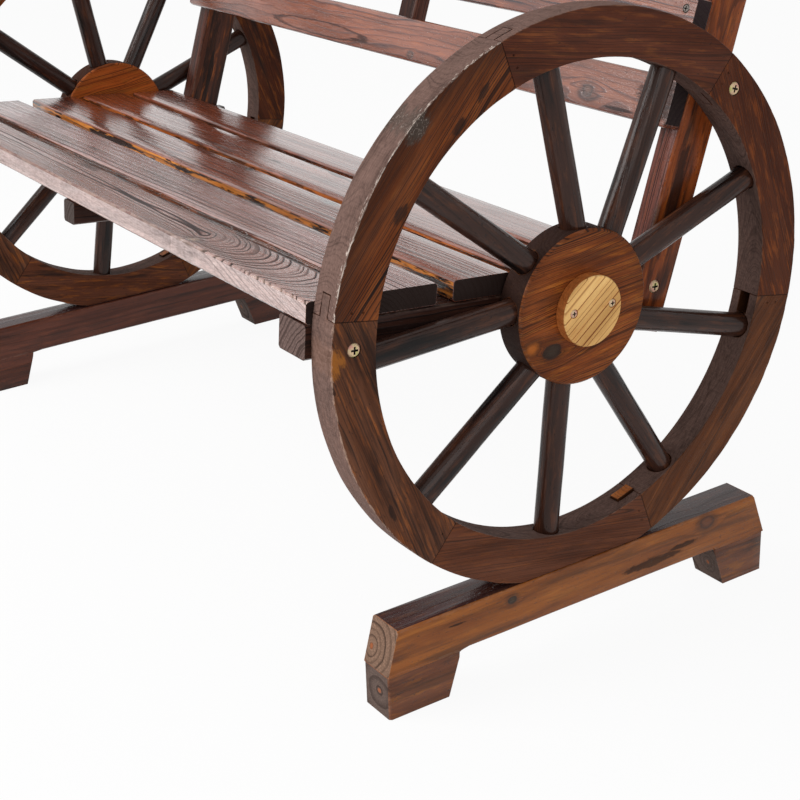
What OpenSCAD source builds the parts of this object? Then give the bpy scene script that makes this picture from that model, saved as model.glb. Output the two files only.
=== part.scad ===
// Wagon wheel bench of dark burnt softwood. Two spoked wheels stand on
// footed base beams and carry a sloping slatted seat and a raked slatted back.
// Millimetres, +Z up. X runs along the bench, the front faces -Y, and the
// origin is on the ground under the middle of the whole piece.

/* [Wheels] */
// Radius of the outer edge of a wheel's rim
wheel_r = 290; // [270:1:320]
// Radial width of the rim
rim_w = 48; // [42:1:56]
// Thickness of the rim pieces, from the inner face to the outer face
rim_t = 35; // [32:1:45]
// Clear distance between the inner faces of the two wheels
wheel_gap = 1018; // [850:1:1400]
// Depth of the flat that is sawn off the bottom of each rim
flat_depth = 10.3; // [6:0.1:14]
// Angle of the first joint in the rim, above the line to the rear
joint_angle = 49.6; // [48:0.1:51]
// Thickness of the tongue that locks two rim pieces together
tongue_t = 12; // [9:0.5:14]
// Length of that tongue beyond the joint
tongue_len = 22; // [14:1:23]
// Play round the tongue in its slot
tongue_clear = 0.3; // [0.1:0.1:0.6]
// How far each tongue stops short of the rim's inner side, joint by joint
tongue_short = [0, 0, 0, 0, -3, 14]; // each from -4 to 14

/* [Spokes] */
// Diameter of a spoke
spoke_d = 26; // [22:1:28]
// Angle of the first spoke, above the line to the rear
spoke_angle = 20; // [19:0.5:21]
// Diameter of the tenon that is turned on both ends of a spoke
tenon_d = 18; // [12:1:20]
// Length of that tenon
tenon_len = 18; // [12:1:22]
// Depth of the round seat that takes the shoulder of a spoke
seat_bore = 4.5; // [4:0.5:6]
// Radial play of a tenon in its hole
tenon_clear = 0.15; // [0.05:0.05:0.3]
// Degrees by which the hand bored holes of the right rim wander from even steps
rim_drift = [0.3, 2.3, -1.9, -0.1, -0.6, -0.1, 2.4, 0.2, 1.1]; // each from -2.5 to 2.5
// Degrees by which the spokes of the right wheel lean off the radius
spoke_lean = [-0.6, 4.3, 4, 1.8, 2.6, -3, 2.1, 2.2, 2.6]; // each from -5 to 5

/* [Hubs] */
// Radius of the solid hub disc
hub_r = 79; // [72:1:86]
// Thickness of the hub disc
hub_t = 35; // [32:1:45]
// Height by which the hub's outer face stands out from the rim's
hub_proud = 1.5; // [0:0.5:3]
// Diameter of the pale round cap on the hub
cap_d = 72; // [62:1:90]
// Thickness of that cap
cap_t = 13.5; // [8:0.5:20]
// Distance of each cap screw from the middle of the cap
cap_screw_r = 24; // [18:1:26]
// Height of the cap screws above the middle of the cap
cap_screw_lift = 3; // [-6:1:6]

/* [Base] */
// Thickness of a base beam and its feet, across the wheel
beam_t = 44; // [40:1:60]
// Height of a base beam
beam_h = 49; // [42:1:70]
// Length of a base beam along its underside
beam_len = 508; // [460:1:600]
// Distance by which the beam is set back from under the axle
beam_shift = 10; // [-20:1:20]
// Distance by which the beam's top is cut in at the front end
beam_cut_front = 13.5; // [5:0.5:20]
// Distance by which the beam's top is cut in at the back end
beam_cut_back = 17.5; // [5:0.5:20]
// Height by which the beam's outer face stands out from the rim's
beam_proud = 2.5; // [0:0.5:6]
// Height of the foot blocks
foot_h = 48; // [36:1:60]
// Top length of the feet: right front, right back, left front, left back
foot_tops = [88, 75, 70, 75]; // each from 60 to 110
// Distance by which the inner end of a foot is undercut
foot_cut = 16; // [0:1:20]

/* [Seat] */
// Height of the top of the seat at its front edge
seat_h = 440; // [415:1:465]
// Slope of the seat down to the back, in degrees
seat_tilt = 5.6; // [2:0.1:8]
// Distance by which the seat's front edge lies in front of the rims
seat_nose = 1; // [0:0.5:6]
// Widths of the seat boards, from the front one to the back one
slat_widths = [62, 68.5, 67.5, 68, 66]; // each from 56 to 74
// Gaps between the seat boards, from front to back
slat_gaps = [14.5, 18.5, 11.5, 12]; // each from 8 to 20
// Thickness of the seat boards
slat_t = 22; // [18:1:30]
// Play between the end of a board and the wheel beside it
slat_clear = 1; // [0.5:0.5:3]
// Size of the eased edges of boards and bars
ease = 2.5; // [1:0.5:4]
// Width of the two rails under the ends of the boards
rail_w = 46.5; // [42:0.5:60]
// Distance of the screws up into the boards from the rail's inner side
seat_screw_in = 14; // [10:1:18]
// Height of those rails
rail_h = 34; // [28:1:44]
// Length of rail left behind the post that it carries
rail_tail = 3; // [0:1:10]
// Width of the middle bearer under the seat
bearer_w = 28; // [20:1:46]
// Height of the middle bearer
bearer_h = 26; // [18:1:34]
// Place of the middle bearer along the bench
bearer_x = -10; // [-60:1:60]
// Distance by which the middle bearer stops short of the seat's back edge
bearer_short = 12; // [0:1:25]

/* [Back] */
// Angle by which the back leans to the rear, in degrees
rake = 18.2; // [14:0.1:22]
// Gap between the seat's back edge and the front of the posts
post_gap = 18; // [10:1:26]
// Width of a post along the bench
post_w = 28.5; // [26:0.5:32]
// Depth of a post, square to its front
post_d = 47; // [40:1:56]
// Length of a post above the level of the seat
post_up = 417; // [405:1:422]
// Length of a post below the level of the seat
post_down = 82; // [72:1:95]
// Number of boards in the back
back_count = 4; // [3:1:4]
// Height of the lowest back board above the seat, along the posts
back_start = 124.5; // [110:0.5:128]
// Width of the back boards
back_w = 51; // [46:1:52]
// Gap between the back boards
back_gap = 31.5; // [24:0.5:33]
// Thickness of the back boards
back_t = 20; // [16:1:26]
// Radius of the rounded corners of the back boards
back_corner = 8; // [4:1:14]
// Spacing of the two screws at each end of a back board
back_screw_pitch = 20; // [12:1:28]
// Width of the upright batten behind the back boards
batten_w = 33; // [24:1:46]
// Thickness of the batten
batten_t = 22; // [16:1:30]
// Place of the batten along the bench
batten_x = 6; // [-60:1:60]
// Distance by which the batten stops short of the back's top and bottom edges
batten_short = 6; // [2:1:16]

/* [Fasteners] */
// Head diameter of the large frame screws
frame_head_d = 14; // [11:0.5:16]
// Shank diameter of the frame screws
frame_shank_d = 6; // [4:0.5:8]
// Depth by which the heads of the frame screws are let in
frame_sink = 2.5; // [1:0.5:4]
// Bite of a frame screw in the second piece that it enters
frame_bite = 20; // [12:1:23]
// Bite of the screw that holds a post to its rail
post_bite = 13; // [8:1:13]
// Head diameter of the small wood screws
small_head_d = 9; // [7:0.5:10]
// Shank diameter of the small wood screws
small_shank_d = 4; // [3:0.5:5]
// Depth by which the heads of the small wood screws are let in
small_sink = 1.8; // [1:0.2:4]
// Bite of a small wood screw in the last board that it enters
small_bite = 12; // [8:1:14]
// Depth of the bores that hide the screw heads under the seat
hide_sink = 6; // [4:0.5:10]
// Bite of the long base screws
base_bite = 27; // [18:1:32]
// Depth of the bores that hide the screw heads under the base
base_sink = 12; // [8:1:18]
// Places of the two screws from each beam into its wheel, behind the axle
beam_screw_places = [0, 50]; // each from -20 to 55
// Diameter of the brads that pin the rim's tongues
brad_d = 2.4; // [2:0.1:3]
// Length of the brads
brad_len = 24; // [20:1:28]
// Play of a screw's shank and head in its hole
screw_clear = 0.1; // [0.05:0.05:0.3]

/* [Hidden] */
$fn = 64;
// A length longer than any piece is deep, for cuts that run right through
far = 500;
// Overshoot of cuts past the faces that they open
over = 1;
// Pieces in one rim and spokes in one wheel: every joint falls between two spokes
felloe_count = 6;
spoke_count = 9;
// Shares of a screw head's diameter: its height and the width of its flat top
head_share = 0.24;
head_top_share = 0.72;
// Share of the head's height that its upright edge takes
head_edge_share = 0.35;
// Shares of the head's diameter: length and width of its cross recess
cross_len_share = 0.54;
cross_w_share = 0.14;
// Share of the head's height by which the recess goes in
cross_depth_share = 0.7;
// Length of a screw's cone point, in shank diameters
point_share = 1.2;
// Share of the rim's width between its inner edge and each of a joint's brads
brad_shares = [0.36, 0.62];
// Distance of the brads from their joint
brad_back = 8;
// Share of a foot's top length between its outer end and each of its screws
foot_screw_shares = [0.22, 0.62];

felloe_step = 360 / felloe_count;
spoke_step = 360 / spoke_count;
rim_in = wheel_r - rim_w;
rim_mid = wheel_r - rim_w / 2;
x_in = wheel_gap / 2;
x_out = x_in + rim_t;
beam_top = foot_h + beam_h;
axle_z = beam_top + wheel_r - flat_depth;
beam_x = x_out + beam_proud - beam_t / 2;
beam_front = beam_shift - beam_len / 2;
beam_back = beam_shift + beam_len / 2;

slat_len = wheel_gap - 2 * slat_clear;
slat_count = len(slat_widths);
seat_depth = slat_front(slat_count - 1) + slat_widths[slat_count - 1];
seat_y = -(wheel_r + seat_nose);
rail_x = x_in - rail_w / 2;
seat_screw_x = x_in - rail_w + seat_screw_in;
// Angle between a post and the square to the seat
post_lean = rake - seat_tilt;
post_run = seat_depth + post_gap;
rail_end = post_run + post_d / cos(post_lean) - slat_t * tan(post_lean) + rail_tail;

post_x = x_in - post_w / 2;
post_y = seat_y + post_run * cos(seat_tilt);
post_z = seat_h - post_run * sin(seat_tilt);
back_pitch = back_w + back_gap;
back_end = back_start + back_count * back_pitch - back_gap;

// The whole piece is centred front to back by its furthest points
front_y = seat_y - (slat_t + rail_h) * sin(seat_tilt);
rear_y = post_y + post_up * sin(rake) + post_d * cos(rake);
mid_y = (front_y + rear_y) / 2;

// Middle of the front end of a rail, and the way along the rail to the rim's
// middle line
rail_mid = slat_t + rail_h / 2;
rail_run = -rim_reach(
    seat_y - rail_mid * sin(seat_tilt), seat_h - rail_mid * cos(seat_tilt) - axle_z,
    -cos(seat_tilt), sin(seat_tilt));
// Way up the middle of a post to the rim's middle line
post_rise = rim_reach(
    post_y + post_d / 2 * cos(rake), post_z - post_d / 2 * sin(rake) - axle_z,
    sin(rake), cos(rake));
// Way along the rail to the middle of the post
post_cross = post_run + post_d / 2 / cos(post_lean) - rail_mid * tan(post_lean);

// Distance from the seat's front edge to the front of seat board i
function slat_front(i) = i == 0 ? 0 : slat_front(i - 1) + slat_widths[i - 1] + slat_gaps[i - 1];
// Height along the posts of the lower edge of back board i
function back_low(i) = back_start + i * back_pitch;
// Way from a point beside the axle, along a unit direction, out to the rim's middle line
function rim_reach(y, z, dy, dz) =
    let (b = y * dy + z * dz) -b + sqrt(b ^ 2 - y ^ 2 - z ^ 2 + rim_mid ^ 2);
// Angle of rim joint i and of spoke k
function joint_at(i) = joint_angle + (i - 1) * felloe_step;
function spoke_at(k, drift) = spoke_angle + (k - 1) * spoke_step + drift[k - 1];
// Whether angle a lies on rim piece i
function on_felloe(a, i) = (a - joint_at(i) + 720) % 360 < felloe_step;
// Way along a leaning spoke from the rim's inner side to the hub's edge
function spoke_reach(lean) = rim_in * cos(lean) - sqrt(hub_r ^ 2 - (rim_in * sin(lean)) ^ 2);
// Drift and lean of spokes that were bored true
even = [for (k = [1:spoke_count]) 0];

// Frames in which pieces are drawn

module centred() {
    translate([0, -mid_y, 0]) children();
}

// A piece on the right side, or its mirror image on the left
module on_side(side) {
    if (side == "right") centred() children();
    else mirror([1, 0, 0]) centred() children();
}

module on_both_sides() {
    children();
    mirror([1, 0, 0]) children();
}

// Right wheel: local Z runs outward from the rim's inner face, the axle is
// the origin, and angles count upward from the line to the rear
module wheel_frame() {
    translate([x_in, 0, axle_z]) rotate([90, 0, 90]) children();
}

// Seat: Y runs back along the boards' top from the front edge
module seat_frame() {
    translate([0, seat_y, seat_h]) rotate([-seat_tilt, 0, 0]) children();
}

// Back: Z runs up the posts' front face from the level of the seat
module back_frame() {
    translate([0, post_y, post_z]) rotate([-rake, 0, 0]) children();
}

// Spoke k: Z runs outward along the spoke, from the rim's inner side
module spoke_frame(k, drift, lean) {
    rotate(spoke_at(k, drift)) translate([rim_in, 0, rim_t / 2])
        rotate(lean[k - 1]) rotate([0, 90, 0]) children();
}

// Stock shapes

// Bar of section w by h with eased edges, centred on X and Y, standing on Z
module bar(w, h, length) {
    linear_extrude(length) polygon([
        [-w / 2 + ease, -h / 2], [w / 2 - ease, -h / 2],
        [w / 2, -h / 2 + ease], [w / 2, h / 2 - ease],
        [w / 2 - ease, h / 2], [-w / 2 + ease, h / 2],
        [-w / 2, h / 2 - ease], [-w / 2, -h / 2 + ease]
    ]);
}

// Disc with eased rims
module disc(r, t, e) {
    rotate_extrude() polygon([[0, 0], [r - e, 0], [r, e], [r, t - e], [r - e, t], [0, t]]);
}

// Flat outline with round corners, centred
module rounded(w, h, r) {
    square([w, h - 2 * r], center = true);
    square([w - 2 * r, h], center = true);
    for (x = [-1, 1]) for (y = [-1, 1])
        translate([x * (w / 2 - r), y * (h / 2 - r)]) circle(r);
}

// Screw that is driven along Z: its head sits on Z 0
module screw(head_d, shank_d, length) {
    head_h = head_share * head_d;
    cross_w = cross_w_share * head_d;
    cross_len = cross_len_share * head_d;
    difference() {
        rotate_extrude() polygon([
            [0, -head_h], [head_top_share * head_d / 2, -head_h],
            [head_d / 2, -head_edge_share * head_h], [head_d / 2, 0], [shank_d / 2, 0],
            [shank_d / 2, length - shank_d * point_share], [0, length]
        ]);
        for (turn = [0, 90])
            rotate(turn) translate([-cross_len / 2, -cross_w / 2, -head_h - over])
                cube([cross_len, cross_w, over + cross_depth_share * head_h]);
    }
}

// Hole for that screw, with a bore of depth sink that lets its head in
module screw_hole(head_d, shank_d, length, sink) {
    cylinder(d = shank_d + 2 * screw_clear, h = length + screw_clear);
    translate([0, 0, -sink - over]) cylinder(d = head_d + 2 * screw_clear, h = sink + over);
}

// Screws and their holes, by what they join

rim_screw_len = rim_t - frame_sink + frame_bite;
post_screw_len = post_w - frame_sink + post_bite;
cap_screw_len = cap_t - small_sink + small_bite;
back_screw_len = back_t - small_sink + 2 * small_bite;
batten_screw_len = batten_t - hide_sink + small_bite;
foot_screw_len = foot_h - base_sink + base_bite;
beam_screw_len = beam_h - base_sink + base_bite;
// Length of a screw up through a bar of height h into a seat board
function seat_screw_len(h) = h - hide_sink + small_bite;

module frame_screw(length) screw(frame_head_d, frame_shank_d, length);
module frame_hole(length) screw_hole(frame_head_d, frame_shank_d, length, frame_sink);
module small_screw(length) screw(small_head_d, small_shank_d, length);
module small_hole(length, sink) screw_hole(small_head_d, small_shank_d, length, sink);
module brad() cylinder(d = brad_d, h = brad_len);
module brad_hole() cylinder(d = brad_d + 2 * screw_clear, h = brad_len + screw_clear);

// Places of the fasteners, each with Z along the driving direction

// Frame screw through the rim into the front of the rail
module at_rail_front() {
    seat_frame() translate([x_out - frame_sink, rail_run, -rail_mid])
        rotate([0, -90, 0]) children();
}

// Frame screw through the rim into the post
module at_post_side() {
    back_frame() translate([x_out - frame_sink, post_d / 2, post_rise])
        rotate([0, -90, 0]) children();
}

// Frame screw through the post into the rail
module at_post_foot() {
    seat_frame() translate([x_in - frame_sink, post_cross, -rail_mid])
        rotate([0, -90, 0]) children();
}

module at_cap_screws() {
    wheel_frame() for (way = [-1, 1])
        translate([way * cap_screw_r, cap_screw_lift, rim_t + hub_proud + cap_t - small_sink])
            rotate([180, 0, 0]) children();
}

// Screws up through a bar of height h, at x, into the seat boards named
module at_seat_screws(x, h, boards = [0:slat_count - 1]) {
    seat_frame() for (i = boards)
        translate([x, slat_front(i) + slat_widths[i] / 2, -slat_t - h + hide_sink]) children();
}

// Screws through the ends of the back boards named into the right post
module at_back_screws(boards = [0:back_count - 1]) {
    back_frame() for (i = boards) for (way = [-0.5, 0.5])
        translate([post_x, -back_t + small_sink, back_low(i) + back_w / 2 + way * back_screw_pitch])
            rotate([-90, 0, 0]) children();
}

// Screws through the batten into the back boards named
module at_batten_screws(boards = [0:back_count - 1]) {
    back_frame() for (i = boards)
        translate([batten_x, batten_t - hide_sink, back_low(i) + back_w / 2])
            rotate([90, 0, 0]) children();
}

// Outer end of a beam and of its foot: way is -1 at the front and 1 at the back
function beam_end(way) = way < 0 ? beam_front : beam_back;

// Screws up through a foot into its beam
module at_foot_screws(way, top_len) {
    for (share = foot_screw_shares)
        translate([beam_x, beam_end(way) - way * share * top_len, base_sink]) children();
}

// Screws up through a beam into the flat of its wheel
module at_beam_screws() {
    for (y = beam_screw_places)
        translate([beam_x, y, foot_h + base_sink]) children();
}

// Brads that pin the tongues of the joints named
module at_brads(joints = [1:felloe_count]) {
    wheel_frame() for (i = joints) for (share = brad_shares)
        rotate(joint_at(i)) translate([rim_in + share * rim_w, -brad_back, rim_t])
            rotate([180, 0, 0]) children();
}

// Wheel pieces, drawn for the right side

// Rim as one ring, down to the radius inner
module ring(inner) {
    difference() {
        cylinder(r = wheel_r, h = rim_t);
        translate([0, 0, -over]) cylinder(r = inner, h = rim_t + 2 * over);
    }
}

// Wedge from joint i to the next one
module felloe_wedge(i) {
    linear_extrude(rim_t) polygon([
        [0, 0],
        far * [cos(joint_at(i)), sin(joint_at(i))],
        far * [cos(joint_at(i + 0.5)), sin(joint_at(i + 0.5))],
        far * [cos(joint_at(i + 1)), sin(joint_at(i + 1))]
    ]);
}

// Block across joint i for its tongue, or for the slot that takes it
module tongue_block(i, play) {
    rotate(joint_at(i))
        translate([0, -tongue_len - play, (rim_t - tongue_t) / 2 - play])
            cube([far, tongue_len + play + over, tongue_t + 2 * play]);
}

// Socket of a spoke in the rim: a seat for its shoulder, then the tenon's hole
module rim_socket() {
    translate([0, 0, -spoke_d]) cylinder(d = spoke_d + 2 * tenon_clear, h = spoke_d + seat_bore);
    cylinder(d = tenon_d + 2 * tenon_clear, h = seat_bore + tenon_len + over);
}

// Socket of a spoke in the hub, in the same frame
module hub_socket(lean) {
    shoulder = -spoke_reach(lean) - seat_bore;
    translate([0, 0, shoulder]) cylinder(d = spoke_d + 2 * tenon_clear, h = spoke_d);
    translate([0, 0, shoulder - tenon_len - over])
        cylinder(d = tenon_d + 2 * tenon_clear, h = tenon_len + 2 * over);
}

// Curved rim piece with a tongue at its lower end and a slot at its upper end
module felloe(i, drift, lean) {
    color("#6e3f22") difference() {
        wheel_frame() difference() {
            union() {
                intersection() {
                    ring(rim_in);
                    felloe_wedge(i);
                }
                intersection() {
                    ring(rim_in + tongue_short[i - 1]);
                    tongue_block(i, 0);
                }
            }
            tongue_block(i + 1, tongue_clear);
            for (k = [1:spoke_count])
                if (on_felloe(spoke_at(k, drift), i)) spoke_frame(k, drift, lean) rim_socket();
        }
        // Flat that rests on the beam
        translate([0, -far, beam_top - far]) cube([2 * far, 2 * far, far]);
        at_rail_front() frame_hole(rim_screw_len);
        at_post_side() frame_hole(rim_screw_len);
        at_beam_screws() small_hole(beam_screw_len, base_sink);
        at_brads([i, i + 1]) brad_hole();
    }
}

// Round spoke with a turned tenon at each end
module spoke(k, drift, lean) {
    shaft = spoke_reach(lean[k - 1]) + 2 * seat_bore;
    color("#3a2820") wheel_frame() spoke_frame(k, drift, lean)
        translate([0, 0, seat_bore - shaft]) {
            cylinder(d = spoke_d, h = shaft);
            translate([0, 0, -tenon_len]) cylinder(d = tenon_d, h = shaft + 2 * tenon_len);
        }
}

module hub(drift, lean) {
    color("#8a4a24") difference() {
        wheel_frame() difference() {
            translate([0, 0, rim_t + hub_proud - hub_t]) disc(hub_r, hub_t, ease);
            for (k = [1:spoke_count]) spoke_frame(k, drift, lean) hub_socket(lean[k - 1]);
        }
        at_cap_screws() small_hole(cap_screw_len, small_sink);
    }
}

module hub_cap() {
    color("#d9b271") difference() {
        wheel_frame() translate([0, 0, rim_t + hub_proud]) disc(cap_d / 2, cap_t, ease / 2);
        at_cap_screws() small_hole(cap_screw_len, small_sink);
    }
}

// Base pieces, drawn for the right side

// Beam with ends that slant in to the top
module base_beam(front_top, back_top) {
    color("#8b4f27") difference() {
        intersection() {
            translate([beam_x, beam_back, foot_h + beam_h / 2]) rotate([90, 0, 0])
                bar(beam_t, beam_h, beam_len);
            translate([beam_x - beam_t / 2 - over, 0, 0]) rotate([90, 0, 90])
                linear_extrude(beam_t + 2 * over) polygon([
                    [beam_front, foot_h], [beam_back, foot_h],
                    [beam_back - beam_cut_back, beam_top], [beam_front + beam_cut_front, beam_top]
                ]);
        }
        at_beam_screws() small_hole(beam_screw_len, base_sink);
        at_foot_screws(-1, front_top) small_hole(foot_screw_len, base_sink);
        at_foot_screws(1, back_top) small_hole(foot_screw_len, base_sink);
    }
}

// Foot block with an upright outer end and an undercut inner end
module foot(way, top_len) {
    inner = beam_end(way) - way * top_len;
    color("#5c3a28") difference() {
        intersection() {
            translate([beam_x, (beam_end(way) + inner) / 2, 0]) bar(beam_t, top_len, foot_h);
            translate([beam_x - beam_t / 2 - over, 0, 0]) rotate([90, 0, 90])
                linear_extrude(beam_t + 2 * over) polygon([
                    [beam_end(way), 0], [inner + way * foot_cut, 0],
                    [inner, foot_h], [beam_end(way), foot_h]
                ]);
        }
        at_foot_screws(way, top_len) small_hole(foot_screw_len, base_sink);
    }
}

// Seat pieces

module seat_slat(i) {
    color("#94705f") centred() difference() {
        seat_frame() translate([-slat_len / 2, slat_front(i) + slat_widths[i] / 2, -slat_t / 2])
            rotate([90, 0, 90]) bar(slat_widths[i], slat_t, slat_len);
        on_both_sides() at_seat_screws(seat_screw_x, rail_h, [i]) small_hole(seat_screw_len(rail_h), hide_sink);
        at_seat_screws(bearer_x, bearer_h, [i]) small_hole(seat_screw_len(bearer_h), hide_sink);
    }
}

// Rail under the boards' right ends, rebated behind for the post
module seat_rail() {
    color("#6a4636") difference() {
        seat_frame() translate([rail_x, 0, -rail_mid]) rotate([-90, 0, 0])
            bar(rail_w, rail_h, rail_end);
        back_frame() translate([x_in - post_w, 0, -far / 2]) cube(far);
        at_seat_screws(seat_screw_x, rail_h) small_hole(seat_screw_len(rail_h), hide_sink);
        at_rail_front() frame_hole(rim_screw_len);
        at_post_foot() frame_hole(post_screw_len);
    }
}

module middle_bearer() {
    color("#5b463c") centred() difference() {
        seat_frame() translate([bearer_x, 0, -slat_t - bearer_h / 2]) rotate([-90, 0, 0])
            bar(bearer_w, bearer_h, seat_depth - bearer_short);
        at_seat_screws(bearer_x, bearer_h) small_hole(seat_screw_len(bearer_h), hide_sink);
    }
}

// Back pieces

module back_post() {
    color("#7d4424") difference() {
        back_frame() translate([post_x, post_d / 2, -post_down])
            bar(post_w, post_d, post_up + post_down);
        at_post_side() frame_hole(rim_screw_len);
        at_post_foot() frame_hole(post_screw_len);
        at_back_screws() small_hole(back_screw_len, small_sink);
    }
}

// Board across the posts, with rounded corners
module back_slat(i) {
    color("#a5694a") centred() difference() {
        back_frame() translate([0, 0, back_low(i) + back_w / 2]) intersection() {
            translate([-slat_len / 2, -back_t / 2, 0]) rotate([0, 90, 0])
                bar(back_w, back_t, slat_len);
            translate([0, over, 0]) rotate([90, 0, 0]) linear_extrude(back_t + 2 * over)
                rounded(slat_len, back_w, back_corner);
        }
        on_both_sides() at_back_screws([i]) small_hole(back_screw_len, small_sink);
        at_batten_screws([i]) small_hole(batten_screw_len, hide_sink);
    }
}

module back_batten() {
    color("#5b3a2a") centred() difference() {
        back_frame() translate([batten_x, batten_t / 2, back_start + batten_short])
            bar(batten_w, batten_t, back_end - back_start - 2 * batten_short);
        at_batten_screws() small_hole(batten_screw_len, hide_sink);
    }
}

// Fasteners

module frame_screws() {
    color("#d8c58e") centred() on_both_sides() {
        at_rail_front() frame_screw(rim_screw_len);
        at_post_side() frame_screw(rim_screw_len);
        at_post_foot() frame_screw(post_screw_len);
    }
}

module cap_screws() {
    color("#d8c58e") centred() on_both_sides() at_cap_screws() small_screw(cap_screw_len);
}

module board_screws() {
    color("#4a4640") centred() {
        on_both_sides() {
            at_seat_screws(seat_screw_x, rail_h) small_screw(seat_screw_len(rail_h));
            at_back_screws() small_screw(back_screw_len);
        }
        at_seat_screws(bearer_x, bearer_h) small_screw(seat_screw_len(bearer_h));
        at_batten_screws() small_screw(batten_screw_len);
    }
}

module base_screws() {
    color("#4a4640") for (side = [0, 1]) on_side(side == 0 ? "right" : "left") {
        at_beam_screws() small_screw(beam_screw_len);
        at_foot_screws(-1, foot_tops[2 * side]) small_screw(foot_screw_len);
        at_foot_screws(1, foot_tops[2 * side + 1]) small_screw(foot_screw_len);
    }
}

module rim_brads() {
    color("#8d857a") centred() on_both_sides() at_brads() brad();
}

for (i = [1:felloe_count]) {
    on_side("right") felloe(i, rim_drift, spoke_lean);
    on_side("left") felloe(i, even, even);
}
for (k = [1:spoke_count]) {
    on_side("right") spoke(k, rim_drift, spoke_lean);
    on_side("left") spoke(k, even, even);
}
on_side("right") hub(rim_drift, spoke_lean);  // right_hub
on_side("left") hub(even, even);  // left_hub
on_side("right") hub_cap();  // right_hub_cap
on_side("left") hub_cap();  // left_hub_cap
on_side("right") base_beam(foot_tops[0], foot_tops[1]);  // right_base_beam
on_side("left") base_beam(foot_tops[2], foot_tops[3]);  // left_base_beam
on_side("right") foot(-1, foot_tops[0]);  // right_front_foot
on_side("right") foot(1, foot_tops[1]);  // right_back_foot
on_side("left") foot(-1, foot_tops[2]);  // left_front_foot
on_side("left") foot(1, foot_tops[3]);  // left_back_foot
for (i = [1:slat_count])
    seat_slat(i - 1);
on_side("right") seat_rail();  // right_seat_rail
on_side("left") seat_rail();  // left_seat_rail
middle_bearer();
on_side("right") back_post();  // right_back_post
on_side("left") back_post();  // left_back_post
back_batten();
for (i = [1:back_count])
    back_slat(i - 1);
frame_screws();
cap_screws();
board_screws();
base_screws();
rim_brads();
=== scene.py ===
import math

import bmesh
import bpy
from mathutils import Matrix, Vector, noise


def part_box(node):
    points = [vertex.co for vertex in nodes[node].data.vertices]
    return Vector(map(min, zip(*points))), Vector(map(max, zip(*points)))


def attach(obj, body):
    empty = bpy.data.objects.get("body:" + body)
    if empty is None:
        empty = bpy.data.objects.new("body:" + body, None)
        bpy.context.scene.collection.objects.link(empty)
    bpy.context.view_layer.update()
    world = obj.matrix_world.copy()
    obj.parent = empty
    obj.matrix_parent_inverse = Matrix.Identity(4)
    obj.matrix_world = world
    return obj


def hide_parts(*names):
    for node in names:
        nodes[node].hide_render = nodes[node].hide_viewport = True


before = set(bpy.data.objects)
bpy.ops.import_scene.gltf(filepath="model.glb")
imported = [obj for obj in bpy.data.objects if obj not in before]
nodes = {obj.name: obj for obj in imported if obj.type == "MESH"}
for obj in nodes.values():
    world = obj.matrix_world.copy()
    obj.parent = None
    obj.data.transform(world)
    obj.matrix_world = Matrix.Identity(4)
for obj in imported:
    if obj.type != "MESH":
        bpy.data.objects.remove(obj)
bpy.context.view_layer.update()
scene = bpy.context.scene

# Places and angles of the part that grain and wear follow, in metres and radians
MM = 0.001
AXLE = Vector((0.0, 0.00401, 0.3767))
WHEEL_R = 0.290
RIM_IN = 0.242
WHEEL_X_IN = 0.509
WHEEL_X_OUT = 0.544
HUB_X_OUT = 0.5455
CAP_X_OUT = 0.559
BEAM_TOP = 0.097
BEAM_X_IN = 0.5025
BEAM_X_OUT = 0.5465
FOOT_TOP = 0.048
JOINT_ANGLE = math.radians(49.6)
FELLOE_STEP = math.radians(60)
SEAT_FRONT = Vector((0.0, -0.28699, 0.440))
SEAT_TILT = math.radians(5.6)
BACK_FOOT = Vector((0.0, 0.12158, 0.4003))
RAKE = math.radians(18.2)

X = Vector((1, 0, 0))
Y = Vector((0, 1, 0))
Z = Vector((0, 0, 1))
SEAT_BACK = Vector((0, math.cos(SEAT_TILT), -math.sin(SEAT_TILT)))
SEAT_UP = Vector((0, math.sin(SEAT_TILT), math.cos(SEAT_TILT)))
BACK_UP = Vector((0, math.sin(RAKE), math.cos(RAKE)))
BACK_FRONT = Vector((0, -math.cos(RAKE), math.sin(RAKE)))
SIGN = {"right": 1, "left": -1}


def linear(red, green, blue):
    """A colour written as 0 to 255 on screen, as the shader takes it."""
    def one(value):
        value /= 255
        return value / 12.92 if value <= 0.04045 else ((value + 0.055) / 1.055) ** 2.4
    return (one(red), one(green), one(blue), 1.0)


# Shader nodes

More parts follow.
